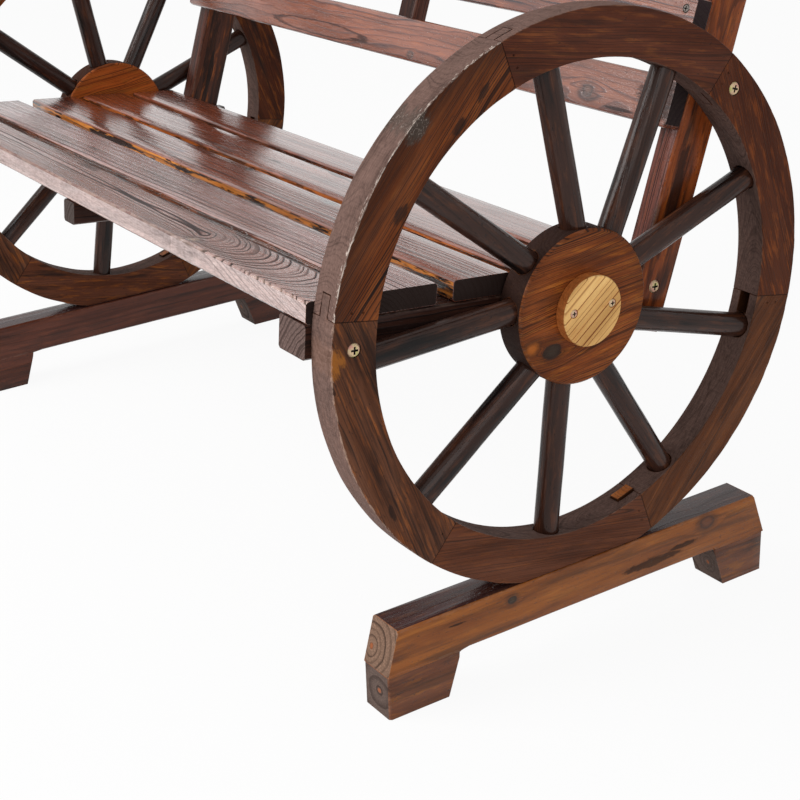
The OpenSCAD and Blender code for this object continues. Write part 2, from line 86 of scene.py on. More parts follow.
class Graph:
    """Short names for making and joining shader nodes."""

    def __init__(self, tree):
        self.tree = tree

    def put(self, socket, value):
        if isinstance(value, bpy.types.NodeSocket):
            self.tree.links.new(value, socket)
        else:
            socket.default_value = value

    def node(self, kind, inputs=None, **settings):
        made = self.tree.nodes.new(kind)
        for key, value in settings.items():
            setattr(made, key, value)
        for key, value in (inputs or {}).items():
            self.put(made.inputs[key], value)
        return made

    def math(self, operation, a, b=0.0, c=0.0, clamp=False):
        made = self.node("ShaderNodeMath", {0: a, 1: b, 2: c}, operation=operation)
        made.use_clamp = clamp
        return made.outputs[0]

    def plus(self, a, b, clamp=False):
        return self.math("ADD", a, b, clamp=clamp)

    def minus(self, a, b):
        return self.math("SUBTRACT", a, b)

    def times(self, a, b, clamp=False):
        return self.math("MULTIPLY", a, b, clamp=clamp)

    def over(self, a, b):
        return self.math("DIVIDE", a, b)

    def line(self, value, slope, start):
        """A straight line: start, and slope times the value."""
        return self.math("MULTIPLY_ADD", value, slope, start)

    def most(self, first, *others):
        """The largest of the values."""
        for other in others:
            first = self.math("MAXIMUM", first, other)
        return first

    def squares(self, a, b):
        """The sum of two squares."""
        return self.plus(self.times(a, a), self.times(b, b))

    def span(self, a, b):
        """How far a step goes that is a one way and b the other."""
        return self.math("SQRT", self.squares(a, b))

    def swing(self, value, size):
        """Noise moved to lie about zero, and scaled."""
        return self.times(self.minus(value, 0.5), size)

    def noise(self, place, scale, detail, roughness, colour=False):
        scaled = self.node("ShaderNodeVectorMath", {0: place, 1: scale}, operation="MULTIPLY").outputs[0]
        made = self.node(
            "ShaderNodeTexNoise",
            {"Vector": scaled, "Scale": 1.0, "Detail": detail, "Roughness": roughness})
        return made.outputs[1 if colour else 0]

    def step(self, value, low, high, out_low=0.0, out_high=1.0):
        made = self.node(
            "ShaderNodeMapRange", {0: value, 1: low, 2: high, 3: out_low, 4: out_high},
            interpolation_type="SMOOTHSTEP")
        return made.outputs[0]

    def mix(self, share, a, b, blend="MIX"):
        made = self.node("ShaderNodeMix", {0: share, 6: a, 7: b}, data_type="RGBA", blend_type=blend)
        return made.outputs[2]

    def parts(self, vector):
        return self.node("ShaderNodeSeparateXYZ", {0: vector}).outputs

    def joined(self, x, y, z):
        return self.node("ShaderNodeCombineXYZ", {0: x, 1: y, 2: z}).outputs[0]

    def shaded(self, colour, share):
        """A colour made darker or lighter alike in red, green and blue."""
        return self.mix(1.0, colour, self.joined(share, share, share), "MULTIPLY")

    def mark(self, name):
        return self.node("ShaderNodeAttribute", attribute_name=name).outputs["Fac"]


def new_material(name):
    """An empty material and the graph that fills it."""
    material = bpy.data.materials.new(name)
    material.use_nodes = True
    material.node_tree.nodes.clear()
    return material, Graph(material.node_tree)


# Inputs of the wood group with their first values, lengths in millimetres
WHITE = (1, 1, 1, 1)
BLACK = (0, 0, 0, 1)
NOWHERE = (0, 0, 0)
WOOD_VECTORS = dict.fromkeys(
    ("Place", "Pith", "Knot 1", "Knot 2", "Streak 1", "Streak 2", "Streak 3", "Patch"), NOWHERE)
WOOD_COLOURS = {
    **dict.fromkeys(("Early", "Side Early", "Rough Colour", "End Colour", "Worn", "Bright"), WHITE),
    **dict.fromkeys(
        ("Late", "Side Late", "Soot", "Knot 1 Colour", "Knot 2 Colour", "Patch Colour"), BLACK)}
WOOD_FLOATS = {
    "Seed": 0.0, "Gap": 5.0, "Band": 0.35, "Slope": 0.0, "Wander": 4.0, "Dip": 0.0, "Dip Start": 0.0,
    "Lines": 1.0, "Bands": 0.55, "Fibre": 0.5, "Flecks": 0.0, "Burn": 0.5, "Side Burn": 0.0,
    "Streak Shape": 0.2, "Hollow": 0.0, "Rim Shade": 0.0, "Rim Start": 262.0, "Wear": 0.5, "Scuff": 0.0,
    "Gloss": 0.3, "Coat": 0.0, "Groove": 0.3}
SEED_SHIFT = (317.0, 131.0, 73.0)
PITH_COLOUR = linear(168, 98, 62)
SMALLEST = 0.01
EULER = 2.718
FADE_OUT = (1.0, 0.0)


class Wood(Graph):
    """Burnt softwood as a solid: year rings about a pith, knots, fibres, scorch and wear, and painted shade
    on faces marked shade.
    """

    def __init__(self, tree):
        super().__init__(tree)
        self.given = self.node("NodeGroupInput").outputs
        place = self.given["Place"]
        shift = self.joined(*(self.times(self.given["Seed"], size) for size in SEED_SHIFT))
        self.own = self.node("ShaderNodeVectorMath", {0: place, 1: shift}, operation="ADD").outputs[0]
        self.along, self.across, self.deep = self.parts(place)
        self.around = self.span(self.along, self.across)
        self.side, self.end, self.rough, self.shade, self.edge = (
            self.mark(name) for name in ("side", "end", "rough", "shade", "edge"))

        # Noise, each named for what it makes
        self.sway = self.parts(self.grain(230, 50, 2.0, 0.5, colour=True))
        self.ripple = self.parts(self.grain(55, 13, 2.0, 0.5, colour=True))
        self.ragged = self.grain(14, 5, 4.0, 0.7)
        self.fibre = self.grain(45, 1.1, 4.0, 0.65)
        self.streak = self.grain(120, 4.5, 3.0, 0.6)
        self.tone = self.grain(150, 22, 3.0, 0.55)
        self.scorch = self.grain(130, 17, 4.0, 0.6)
        self.saw = self.grain(1.6, 24, 2.0, 0.6)
        self.fuzz = self.grain(9, 1.6, 4.0, 0.7)
        self.pits = self.step(self.grain(5, 1.7, 2.0, 0.5), 0.64, 0.72)

    def grain(self, length, width, detail, roughness, colour=False):
        """Noise with spots of a length along the grain and a width across it."""
        return self.noise(self.own, (1 / length, 1 / width, 1 / width), detail, roughness, colour)

    def pith_distance(self):
        """How far a spot is from the pith, which wanders a little, as a trunk does."""
        pith = self.parts(self.given["Pith"])
        offsets = []
        for axis in (0, 1):
            both = self.plus(self.swing(self.sway[axis], 4.0), self.swing(self.ripple[axis], 0.55))
            offsets.append(self.times(both, self.given["Wander"]))
        lean = self.times(self.along, self.given["Slope"])
        past = self.most(self.minus(self.along, self.given["Dip Start"]), 0.0)
        dip = self.times(past, self.given["Dip"])
        out_v = self.plus(self.minus(self.minus(self.across, pith[1]), lean), offsets[0])
        out_w = self.plus(self.plus(self.minus(self.deep, pith[2]), dip), offsets[1])
        return self.span(out_v, out_w)

    def part_round_knots(self, reach):
        """Rings part around each knot, which has a dark halo."""
        knots, halos = [], 0.0
        for name in ("Knot 1", "Knot 2"):
            spot = self.parts(self.given[name])
            size = self.most(spot[2], SMALLEST)
            du = self.minus(self.along, spot[0])
            dv = self.minus(self.across, spot[1])
            fall = self.squares(self.over(du, self.times(size, 3.2)), self.over(dv, self.times(size, 1.8)))
            bulge = self.times(self.math("POWER", EULER, self.times(fall, -1.0)), size)
            soft = self.times(self.times(size, size), 0.12)
            flank = self.over(dv, self.math("SQRT", self.plus(self.times(dv, dv), soft)))
            reach = self.minus(reach, self.times(bulge, self.times(flank, 1.1)))
            far = self.span(self.times(du, 0.72), dv)
            far = self.plus(far, self.swing(self.ripple[2], self.times(size, 1.4)))
            share = self.over(far, size)
            inside = self.step(share, 0.8, 1.05, *FADE_OUT)
            knots.append((inside, share, self.given[name + " Colour"]))
            halos = self.most(halos, self.step(share, 0.9, 2.2, *FADE_OUT))
        return reach, knots, halos

    def dark_streaks(self):
        """Streaks of pitch and scorch along the grain; the first one may be a hollow outline."""
        hollow = self.given["Hollow"]
        loose = self.line(hollow, -0.8, 1.0)
        streaks = 0.0
        for name in ("Streak 1", "Streak 2", "Streak 3"):
            first = name == "Streak 1"
            spot = self.parts(self.given[name])
            size = self.most(spot[2], SMALLEST)
            width = self.times(size, self.given["Streak Shape"])
            far_u = self.over(self.minus(self.along, spot[0]), size)
            far_v = self.over(self.minus(self.across, spot[1]), width)
            far_v = self.plus(far_v, self.swing(self.ripple[0], self.times(loose, 1.6)))
            fall = self.plus(self.squares(far_u, far_v), self.swing(self.ragged, self.times(loose, 2.4)))
            solid = self.line(hollow, 0.45, 0.4) if first else 0.4
            filled = self.step(fall, solid, 1.1, *FADE_OUT)
            if first:
                inside = self.times(self.step(fall, 0.5, solid, *FADE_OUT), hollow)
                filled = self.minus(filled, inside)
            streaks = self.most(streaks, filled)
        return streaks

    def ragged_patch(self):
        """One patch with ragged edges: stains and scorches, and painted shade at the first back board's
        right end.
        """
        spot = self.parts(self.given["Patch"])
        far_u = self.minus(self.along, spot[0])
        far_v = self.times(self.minus(self.across, spot[1]), 1.5)
        far = self.over(self.span(far_u, far_v), self.most(spot[2], SMALLEST))
        far = self.plus(far, self.swing(self.ragged, 2.2))
        return self.step(far, 0.55, 1.15, *FADE_OUT)

    def late_wood(self, reach):
        """Pale early wood darkens to a late line, each ring with its own strength."""
        seed = self.given["Seed"]
        turns = self.over(reach, self.given["Gap"])
        drift = self.plus(self.times(turns, 0.45), seed)
        uneven = self.node(
            "ShaderNodeTexNoise", {"W": drift, "Scale": 1.0, "Detail": 1.0},
            noise_dimensions="1D").outputs[0]
        turns = self.plus(turns, self.times(uneven, 2.2))
        phase = self.math("FRACT", turns)
        number = self.plus(self.math("FLOOR", turns), seed)
        strength = self.node("ShaderNodeTexWhiteNoise", {"W": number}, noise_dimensions="1D").outputs[0]
        late = self.times(self.step(phase, self.given["Band"], 0.88), self.step(phase, 0.93, 1.0, *FADE_OUT))
        return self.times(late, self.line(strength, 0.75, 0.35))

    def dark_lines(self, late):
        """The share of dark wood from rings, hairs and bands together."""
        strand = self.grain(70, 2.6, 3.0, 0.7)
        hairs = self.plus(self.minus(self.fibre, 0.5), self.swing(strand, 2.2))
        bands = self.times(self.step(self.streak, 0.52, 0.72), self.given["Bands"])
        lines = self.plus(self.times(late, self.given["Lines"]), self.times(hairs, self.given["Fibre"]))
        return self.plus(lines, bands, clamp=True)

    def planed_colour(self, lines, dark):
        """Early and late wood, with bright flecks and another colour on the sides."""
        fleck = self.step(self.grain(38, 5.5, 4.0, 0.65), 0.5, 0.66)
        flecks = self.times(self.given["Flecks"], self.line(self.side, -0.7, 1.0))
        early = self.mix(self.side, self.given["Early"], self.given["Side Early"])
        early = self.mix(self.times(fleck, flecks), early, self.given["Bright"])
        return self.mix(lines, early, dark)

    def burnt_share(self, halos, streaks):
        """Where soot lies: scorch, blots, knots, streaks, a wheel's outer part and pits."""
        burn = self.given["Burn"]
        blots = self.times(self.step(self.grain(50, 6, 3.0, 0.6), 0.47, 0.56), self.side)
        past = self.minus(self.plus(self.around, self.times(self.ragged, 14.0)), self.given["Rim Start"])
        return self.most(
            self.times(self.step(self.scorch, 0.5, 0.68), burn),
            self.times(blots, self.given["Side Burn"]),
            self.times(halos, 0.5),
            self.times(streaks, 0.8),
            self.times(self.step(past, 0.0, 34.0), self.given["Rim Shade"]),
            self.times(self.pits, self.line(burn, 0.6, 0.1)))

    def with_knots(self, colour, knots):
        for inside, share, tint in knots:
            heart = self.step(self.plus(share, self.times(self.ragged, 0.8)), 0.6, 1.35, 0.0, 0.7)
            colour = self.mix(self.times(inside, 0.94), colour, self.mix(heart, tint, self.given["Soot"]))
        return colour

    def sawn_colour(self, lines, dark, burst, stain_and_shade):
        """Sawn faces are paler and grey, with marks across the grain; where painted shade is marked, their
        dark lines show more.
        """
        mottle = self.plus(self.times(self.saw, 0.5), self.step(self.fuzz, 0.25, 0.75, 0.38, 0.94))
        mottle = self.plus(mottle, self.step(self.scorch, 0.5, 0.72, 0.1, -0.2))
        sawn = self.shaded(self.given["Rough Colour"], mottle)
        sawn = self.mix(self.times(lines, self.line(self.shade, 0.68, 0.32), clamp=True), sawn, dark)
        return self.mix(burst, sawn, stain_and_shade)

    def end_colour(self, late, reach):
        """On cut ends the rings stay, fibres turn to pores, and the pith shows."""
        soot = self.given["Soot"]
        cut = self.mix(self.times(late, 0.75), self.given["End Colour"], soot)
        cut = self.mix(self.step(self.fuzz, 0.42, 0.7, 0.45, 0.0), cut, soot)
        return self.mix(self.step(reach, 1.6, 3.6, 0.8, 0.0), cut, PITH_COLOUR)

    def worn_share(self):
        """Edges rubbed pale in places, and scuffs in from a wheel's outer edge."""
        rub = self.step(self.grain(16, 5, 4.0, 0.7), 0.42, 0.58)
        rubbed = self.times(rub, self.step(self.tone, 0.4, 0.56, 0.3, 1.0))
        worn = self.times(self.times(self.edge, rubbed), self.given["Wear"])
        outer = self.step(self.around, WHEEL_R / MM - 5, WHEEL_R / MM, -0.3, 0.08)
        near = self.plus(outer, self.step(self.math("ABSOLUTE", self.deep), 0.0, 9.0, 0.0, -0.22))
        scrape = self.grain(18, 2.2, 4.0, 0.75)
        scuffs = self.times(self.step(self.plus(near, scrape), 0.55, 0.66), self.given["Scuff"])
        return self.most(worn, scuffs)

    def roughness(self, lines, worn):
        gloss = self.plus(self.given["Gloss"], self.swing(self.fibre, 0.18))
        gloss = self.plus(gloss, self.times(lines, 0.06))
        gloss = self.plus(gloss, self.times(self.most(self.rough, self.end), 0.38))
        return self.plus(gloss, self.times(worn, 0.2))

    def height(self, late, worn):
        relief = self.plus(self.times(late, 0.55), self.times(self.fibre, 0.35))
        relief = self.minus(relief, self.times(self.step(self.streak, 0.6, 0.75), 0.3))
        relief = self.minus(relief, self.times(self.pits, 0.5))
        marks = self.plus(self.times(self.saw, 0.9), self.times(self.fuzz, 1.2))
        relief = self.plus(relief, self.times(marks, self.most(self.rough, self.times(self.end, 0.6))))
        return self.minus(relief, self.times(worn, 0.4))

    def lacquer(self, late, patch, streaks):
        """Lacquer lies on the smooth faces, and thinly in the grain's grooves."""
        grooves = self.times(self.times(late, self.given["Lines"]), self.given["Groove"], clamp=True)
        # Faces marked with painted shade lose most of their lacquer too, so they reflect less.
        bare = self.most(
            grooves, self.end, self.times(self.most(self.rough, self.shade), 0.8),
            self.times(patch, 0.75), self.times(streaks, 0.6))
        return self.times(self.given["Coat"], self.minus(1.0, bare))

    def build(self):
        given = self.given
        reach, knots, halos = self.part_round_knots(self.pith_distance())
        streaks = self.dark_streaks()
        patch = self.ragged_patch()
        late = self.late_wood(reach)
        lines = self.dark_lines(late)
        worn = self.worn_share()

        dark = self.mix(self.side, given["Late"], given["Side Late"])
        colour = self.planed_colour(lines, dark)
        colour = self.mix(self.burnt_share(halos, streaks), colour, given["Soot"])
        bright = self.step(self.tone, 0.25, 0.75, 0.74, 1.28)
        warm = self.joined(bright, self.math("POWER", bright, 1.3), self.math("POWER", bright, 1.6))
        colour = self.with_knots(self.mix(1.0, colour, warm, "MULTIPLY"), knots)

        grit = self.step(self.grain(1.8, 1.2, 3.0, 0.7), 0.54, 0.7, 0.0, 0.8)
        burst = self.times(patch, given["Rim Shade"])
        # The patch colour gives stains and scorches on other pieces, and painted shade at the first back
        # board's right end.
        stain_and_shade = self.mix(self.times(grit, burst), given["Patch Colour"], given["Worn"])
        colour = self.mix(self.times(patch, 0.85), colour, stain_and_shade)
        sawn = self.sawn_colour(lines, dark, burst, stain_and_shade)
        colour = self.mix(self.times(self.rough, 0.92), colour, sawn)
        colour = self.mix(self.end, colour, self.end_colour(late, reach))
        # Painted shade: faces marked shade are darkened by up to 72 %, in recesses, slots and socket mouths
        # and on the rim's inner face; the rim's dark joint lines use the same mark.
        colour = self.shaded(colour, self.line(self.shade, -0.72, 1.0))
        colour = self.mix(worn, colour, given["Worn"])
        self.node("NodeGroupOutput", {
            "Color": colour, "Roughness": self.roughness(lines, worn),
            "Height": self.height(late, worn), "Coat": self.lacquer(late, patch, streaks)})


def wood_group():
    tree = bpy.data.node_groups.new("burnt fir", "ShaderNodeTree")
    for kind, values in (("Vector", WOOD_VECTORS), ("Color", WOOD_COLOURS), ("Float", WOOD_FLOATS)):
        for name, value in values.items():
            socket = tree.interface.new_socket(name=name, in_out="INPUT", socket_type="NodeSocket" + kind)
            socket.default_value = value
    for name, kind in (("Color", "Color"), ("Roughness", "Float"), ("Height", "Float"), ("Coat", "Float")):
        tree.interface.new_socket(name=name, in_out="OUTPUT", socket_type="NodeSocket" + kind)
    Wood(tree).build()
    return tree


WOOD = wood_group()


def grain_place(origin, u, v, w):
    """Mapping from the row frame to millimetres along, across and into the grain."""
    turn = Matrix((u, v, w)).transposed().to_euler()
    return {"Location": origin, "Rotation": turn, "Scale": (MM, MM, MM)}


def wood_material(name, place, values):
    material, g = new_material(name)
    spot = g.node("ShaderNodeTexCoord").outputs["Object"]
    mapped = g.node("ShaderNodeMapping", {"Vector": spot, **place}, vector_type="TEXTURE")
    wood = g.node("ShaderNodeGroup", {"Place": mapped.outputs[0]}, node_tree=WOOD)
    shader = g.node("ShaderNodeBsdfPrincipled")
    relief = 0.0006
    for key, value in values.items():
        if key in wood.inputs:
            wood.inputs[key].default_value = value
        elif key == "relief":
            relief = value
        else:
            shader.inputs[key].default_value = value
    bump = g.node(
        "ShaderNodeBump", {"Height": wood.outputs["Height"], "Strength": 0.55, "Distance": relief})
    linked = {
        "Base Color": wood.outputs["Color"], "Roughness": wood.outputs["Roughness"],
        "Normal": bump.outputs[0], "Coat Normal": bump.outputs[0]}
    if values.get("Coat"):
        linked["Coat Weight"] = wood.outputs["Coat"]
    for key, output in linked.items():
        g.put(shader.inputs[key], output)
    g.node("ShaderNodeOutputMaterial", {"Surface": shader.outputs[0]})
    return material


SCRATCHED = linear(120, 100, 76)
# Painted shade for the cross recesses of screw heads
RECESS_SHADE = linear(34, 24, 18)


def metal_material(name, colour, bloom_a, bloom_b, roughness):
    """Plated steel with a two-coloured bloom, fine scratches and painted shade in its hollows."""
    material, g = new_material(name)
    spot = g.node("ShaderNodeTexCoord").outputs["Object"]
    bloom = g.noise(spot, (130, 130, 130), 2.0, 0.5)
    scratch = g.noise(spot, (2600, 700, 700), 2.0, 0.6)
    tint = g.mix(g.step(bloom, 0.5, 0.66, 0.0, 0.8), colour, bloom_b)
    tint = g.mix(g.step(bloom, 0.34, 0.48, 0.8, 0.0), tint, bloom_a)
    tint = g.mix(g.step(scratch, 0.6, 0.8, 0.0, 0.35), tint, SCRATCHED)
    # Painted shade in the marked recesses
    tint = g.mix(g.mark("shade"), tint, RECESS_SHADE)
    bump = g.node("ShaderNodeBump", {"Height": scratch, "Strength": 0.4, "Distance": 0.0002})
    shader = g.node("ShaderNodeBsdfPrincipled", {
        "Base Color": tint, "Metallic": 0.3, "Normal": bump.outputs[0],
        "Roughness": g.step(bloom, 0.2, 0.8, roughness, roughness + 0.2)})
    g.node("ShaderNodeOutputMaterial", {"Surface": shader.outputs[0]})
    return material


# Looks of the woods

def look(base, **changes):
    """A look with some values changed; an underscore in a name stands for a space."""
    return {**base, **{key.replace("_", " "): value for key, value in changes.items()}}


def woods(early, late, **changes):
    return look({"Early": linear(*early), "Late": linear(*late)}, **changes)


RIM = woods(
    (112, 56, 30), (50, 27, 20), Soot=linear(38, 25, 21), Bright=linear(156, 88, 38), Flecks=0.4,
    Side_Early=linear(168, 98, 44), Side_Late=linear(84, 48, 28),
    Rough_Colour=linear(116, 92, 84), End_Colour=linear(96, 72, 60), Worn=linear(190, 160, 142),
    Gap=3.6, Wander=3.5, Lines=0.7, Burn=0.6, Fibre=0.8, Gloss=0.36, Wear=0.2, IOR=1.17)
SPOKE = look(
    RIM, Early=linear(56, 33, 25), Late=linear(24, 17, 15), Soot=linear(14, 11, 11),
    Bright=linear(112, 64, 38), Flecks=0.35, Gap=5.0, Wander=3.0, Lines=0.35, Bands=0.22, Fibre=0.25,
    Burn=0.95, Gloss=0.3, IOR=1.14, Coat=0.34, Coat_IOR=1.5, Coat_Roughness=0.1, relief=0.0006)
HUB = look(
    RIM, Early=linear(142, 74, 34), Late=linear(60, 32, 19), Bright=linear(180, 106, 42), Flecks=0.65,
    Gap=1.9, Wander=4.5, Slope=0.08, Lines=1.0, Burn=0.5, Bands=0.25, Fibre=0.5, Wear=0.06,
    Rough_Colour=linear(34, 27, 26), Rim_Start=64.0, Rim_Shade=0.5,
    Knot_1=(-40, -35, 9), Knot_1_Colour=linear(60, 50, 42),
    Knot_2=(-66, -26, 7), Knot_2_Colour=linear(178, 100, 42))
CAP = look(
    RIM, Early=linear(240, 190, 120), Late=linear(150, 88, 44), Soot=linear(150, 98, 58),
    Bright=linear(226, 160, 92), Flecks=0.5, Gap=6.4, Band=0.76, Wander=0.8, Lines=1.3, Burn=0.0,
    Fibre=0.18, Bands=0.0, Gloss=0.36, Worn=linear(238, 198, 140), Wear=0.5,
    Rough_Colour=linear(176, 98, 46))
BASE = look(
    RIM, Early=linear(148, 82, 28), Late=linear(68, 40, 22), Bright=linear(168, 101, 34), Flecks=0.4,
    Gap=9.0, Band=0.45, Lines=0.4, Fibre=0.4, Bands=0.4, Burn=0.5, Gloss=0.24, Wear=0.1,
    Side_Early=linear(66, 38, 35), Side_Late=linear(27, 19, 22), End_Colour=linear(154, 122, 102),
    IOR=1.14, Coat=0.5, Coat_IOR=1.42, Coat_Roughness=0.1)
SEAT = look(
    RIM, Early=linear(138, 70, 48), Late=linear(58, 32, 27), Bright=linear(166, 88, 50), Gap=5.0,
    Lines=0.9, Burn=0.4, Gloss=0.26, Fibre=0.6, Wear=0.14, Side_Early=linear(190, 104, 50),
    Side_Late=linear(64, 34, 22), Side_Burn=0.8, Rough_Colour=linear(198, 178, 174),
    End_Colour=linear(44, 33, 30), IOR=1.22, Coat=1.0, Coat_IOR=1.75, Coat_Roughness=0.1,
    relief=0.0004)
POST = look(
    RIM, Early=linear(134, 65, 30), Late=linear(46, 25, 19), Bright=linear(178, 94, 36), Flecks=0.55,
    Gap=3.2, Band=0.4, Lines=1.1, Burn=0.8, Fibre=0.45, Bands=0.4, Gloss=0.27, Wear=0.1,
    Side_Early=linear(118, 70, 60), Side_Late=linear(52, 32, 28), End_Colour=linear(90, 72, 66),
    IOR=1.15, Coat=0.3, Coat_IOR=1.3, Coat_Roughness=0.1)
RAIL = look(
    POST, Early=linear(56, 33, 26), Late=linear(30, 20, 18), Bright=linear(84, 50, 36), Flecks=0.3,
    Gap=4.5, Side_Early=linear(70, 42, 34), Side_Late=linear(36, 24, 22),
    End_Colour=linear(124, 102, 96))
BACK = look(
    RIM, Early=linear(140, 80, 58), Late=linear(60, 39, 42), Soot=linear(48, 33, 38),
    Bright=linear(172, 98, 58), Flecks=0.4, Gap=5.0, Band=0.45, Wander=6.0, Lines=1.0, Burn=0.45,
    Gloss=0.26, Wear=0.1, Side_Early=linear(176, 98, 52), Side_Late=linear(70, 40, 28),
    End_Colour=linear(46, 36, 33), IOR=1.22, Coat=1.0, Coat_IOR=1.75, Coat_Roughness=0.12,
    relief=0.0009)


# Worked meshes: sizes in metres, angles in radians, and FACING as a cosine
SAME_SPOT = 2e-5
FLAT_ANGLE = math.radians(0.4)
SHARP_ANGLE = math.radians(60)
WOOD_SMOOTH = math.radians(50)
METAL_SMOOTH = math.radians(35)
FACING = 0.86
SOCKET_BOX = 0.028
LONG_BOX = 0.045
SOCKET_BEVEL = 0.0011
RIM_BEVEL = 0.0006
BAR_BEVEL = 0.0005
RIM_SLACK = 0.0014


def wheel_radius(spot):
    return math.hypot(spot.y - AXLE.y, spot.z - AXLE.z)


def off_rim_face(spot):
    """How far a spot lies from the nearer flat face of its wheel's rim."""
    return min(abs(abs(spot.x) - WHEEL_X_IN), abs(abs(spot.x) - WHEEL_X_OUT))


def copied(name):
    """A CAD piece's mesh, with its doubled corners merged."""
    bm = bmesh.new()
    bm.from_mesh(nodes[name].data)
    bmesh.ops.remove_doubles(bm, verts=bm.verts, dist=SAME_SPOT)
    return bm


def placed(bm, name, ending, smooth_angle):
    """Makes a worked mesh the piece that stands for its CAD node."""
    mesh = bpy.data.meshes.new(name + ending)
    bm.to_mesh(mesh)
    bm.free()
    for spare in ("custom_normal", "sharp_face"):
        if spare in mesh.attributes:
            mesh.attributes.remove(mesh.attributes[spare])
    mesh.polygons.foreach_set("use_smooth", [True] * len(mesh.polygons))
    mesh.set_sharp_from_angle(angle=smooth_angle)
    piece = bpy.data.objects.new(name + ending, mesh)
    scene.collection.objects.link(piece)
    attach(piece, "root")
    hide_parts(name)
    return piece


def sharp_chains(bm, angle):
    """Convex sharp edges in groups that touch, each with the size of its box."""
    bm.normal_update()
    left = {e for e in bm.edges if e.is_manifold and e.is_convex and e.calc_face_angle() > angle}
    chains = []
    while left:
        seed = left.pop()
        chain, queue = [seed], [seed]
        while queue:
            for vert in queue.pop().verts:
                for other in vert.link_edges:
                    if other in left:
                        left.discard(other)
                        chain.append(other)
                        queue.append(other)
        spots = [v.co for e in chain for v in e.verts]
        low = Vector([min(s[i] for s in spots) for i in range(3)])
        high = Vector([max(s[i] for s in spots) for i in range(3)])
        chains.append(((high - low).length, chain))
    return chains


def cut(bm, origin, normal, start, stop, step):
    """Cuts across the mesh at even steps, so that its faces can be worked."""
    count = max(1, round((stop - start) / step))
    for i in range(1, count):
        spot = origin + normal * (start + (stop - start) * i / count)
        bmesh.ops.bisect_plane(
            bm, geom=bm.verts[:] + bm.edges[:] + bm.faces[:], dist=1e-6, plane_co=spot, plane_no=normal)


def mark_board(face, layers, axes):
    spread = [abs(face.normal.dot(axis)) for axis in axes]
    if max(spread) < FACING:
        face[layers["edge"]] = 1
    else:
        face[layers["end"]] = float(spread[0] > FACING)
        face[layers["side"]] = float(spread[1] > FACING)


def mark_rim(face, layers, axes):
    spot = face.calc_center_median()
    radius = wheel_radius(spot)
    if abs(face.normal.x) > 0.9 and off_rim_face(spot) < 0.0005:
        return
    inner = abs(radius - RIM_IN) < RIM_SLACK
    outer = radius > WHEEL_R - RIM_SLACK
    face[layers["side"]] = float(radius < RIM_IN - RIM_SLACK)
    face[layers["rough"]] = float(inner or outer)
    # Painted shade: 0.45 on the rim's inner face, and full shade on faces inside the rim between its inner
    # and outer faces, such as joint planes and slot floors.
    face[layers["shade"]] = 0.45 if inner else float(radius > RIM_IN and not outer)


def mark_disc(face, layers, axes):
    slant = abs(face.normal.x)
    if slant <= 0.9:
        face[layers["edge" if slant > 0.3 else "rough"]] = 1


MARKERS = {"board": mark_board, "rim": mark_rim, "disc": mark_disc}


def zones(bm, kind, axes):
    """Marks each face as an end, a side, a rough face or an eased edge, and how much painted shade it gets.
    """
    layers = {name: bm.faces.layers.float.new(name) for name in ("end", "side", "rough", "edge", "shade")}
    if kind in MARKERS:
        for face in bm.faces:
            MARKERS[kind](face, layers, axes)
    return layers


def ease_edges(bm, layers, kind, bevel, joints):
    """Rubs the long edges round, dark along the rim's joints, and softens the mouths of the spoke sockets,
    which get a ring of painted shade.
    """
    chains = sharp_chains(bm, SHARP_ANGLE)
    long_edges = [e for size, chain in chains if size >= LONG_BOX for e in chain] if bevel else []
    sockets = []
    if kind in ("rim", "disc"):
        sockets = [e for size, chain in chains if SOCKET_BOX < size < LONG_BOX for e in chain]
    for edges, offset, pale in ((long_edges, bevel, 1), (sockets, SOCKET_BEVEL, 0)):
        edges = [e for e in edges if e.is_valid]
        if not edges:
            continue
        made = bmesh.ops.bevel(
            bm, geom=edges, offset=offset, offset_type="OFFSET", segments=2, profile=0.5, affect="EDGES",
            clamp_overlap=False, loop_slide=True)
        for face in made["faces"]:
            spot = face.calc_center_median()
            on_rim = not RIM_IN + 0.0009 < wheel_radius(spot) < WHEEL_R - 0.0009 or spot.z < BEAM_TOP + 0.001
            joint = joints and not (off_rim_face(spot) < 0.0007 and on_rim)
            face[layers["edge"]] = float(pale and not joint)
            # Socket mouths get a ring of painted shade; joint bevels are the rim's dark joint lines.
            face[layers["shade"]] = 0.7 if joint or not pale else 0.0
            face[layers["end"]] = face[layers["side"]] = face[layers["rough"]] = 0


def worked(name, kind, axes, bevel, steps=(), push=None, rough=None, joints=False):
    """A copy of a CAD piece with rubbed edges and hand-worked faces."""
    bm = copied(name)
    bmesh.ops.dissolve_limit(bm, angle_limit=FLAT_ANGLE, verts=bm.verts, edges=bm.edges)
    bm.normal_update()
    layers = zones(bm, kind, axes)
    if rough:
        for face in bm.faces:
            if rough(face.calc_center_median(), face.normal):
                face[layers["rough"]] = 1
    ease_edges(bm, layers, kind, bevel, joints)
    for origin, normal, start, stop, step in steps:
        cut(bm, origin, normal, start, stop, step)
    bm.normal_update()
    if push:
        moves = [(vert, push(vert.co, vert.normal)) for vert in bm.verts]
        for vert, move in moves:
            vert.co += move
    piece = placed(bm, name, "_wood", WOOD_SMOOTH)
    weighted = piece.modifiers.new("weighted", "WEIGHTED_NORMAL")
    weighted.keep_sharp = True
    return piece


def waves(spot, size, seed):
    """Smooth seeded noise, from -1 to 1."""
    return noise.noise(spot / size + Vector((seed * 7.3, seed * 3.1, seed * 1.7)))


def dress(piece, material):
    piece.data.materials.clear()
    piece.data.materials.append(material)


# Wheels

